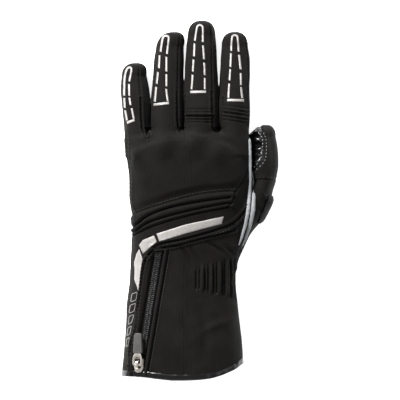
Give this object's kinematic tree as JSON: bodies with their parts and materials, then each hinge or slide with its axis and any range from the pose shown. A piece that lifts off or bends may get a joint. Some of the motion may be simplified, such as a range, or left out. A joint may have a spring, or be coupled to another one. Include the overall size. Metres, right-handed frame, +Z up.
{
  "type": "textile motorcycle glove",
  "caption": "Left textile motorcycle glove lying palm down: padded knuckles and ribs, reflective wrist band, gauntlet cuff with a side zip.",
  "frame": {"origin": "bottom centre of the bounding box, on the table that the palm rests on", "axes": "+Y from the cuff to the fingertips, +X to the thumb side, +Z up through the back of the hand"},
  "size_m": [0.1341, 0.306, 0.0573],
  "materials": {
    "softshell": "matte woven softshell, faintly ribbed",
    "side_cloth": "matte stretch cloth, a little lighter",
    "palm_leather": "matte fine-grained leather",
    "stretch_cloth": "smooth tape",
    "grip_leather": "glossy wrinkled leather",
    "foil": "reflective beaded foil, sparkling grain",
    "piping_leather": "light grey grained leather",
    "black_plastic": "moulded glossy black",
    "grey_rubber": "matte grey rubber",
    "bright_metal": "polished nickel plate"
  },
  "bodies": {
    "glove": {"hand_back": "softshell", "rib_panel": "softshell", "wrist_band": "softshell", "cuff_back": "softshell", "cuff_outer": "softshell", "cuff_palm": "softshell", "thumb_back": "softshell", "little_back": "softshell", "ring_back": "softshell", "middle_back": "softshell", "index_back": "softshell", "thumb_base": "side_cloth", "little_side_left": "side_cloth", "little_side_right": "side_cloth", "ring_side_left": "side_cloth", "ring_side_right": "side_cloth", "middle_side_left": "side_cloth", "middle_side_right": "side_cloth", "index_side_left": "side_cloth", "index_side_right": "side_cloth", "palm": "palm_leather", "thumb_front": "palm_leather", "little_front": "palm_leather", "ring_front": "palm_leather", "middle_front": "palm_leather", "index_front": "palm_leather", "zip_tape": "stretch_cloth", "zip_flap_inner": "stretch_cloth", "zip_flap_outer": "stretch_cloth", "thumb_grip_patch": "grip_leather", "thumb_heel_pad": "grip_leather", "hem_binding": "grip_leather", "reflector_long": "foil", "reflector_short": "foil", "reflector_side": "foil", "side_piping_inner": "piping_leather", "side_piping_outer": "piping_leather", "zip_chain": "black_plastic", "zip_slider": "bright_metal"},
    "zip_pull": {"zip_pull": "bright_metal", "zip_grip": "grey_rubber"}
  },
  "joints": [
    {"name": "pull_hinge", "type": "hinge", "parent": "glove", "child": "zip_pull", "pos_m": [-0.05291, -0.13959, 0.05399], "axis": [0.8887, 0.0621, 0.4542], "range_deg": [0, 165]}
  ]
}
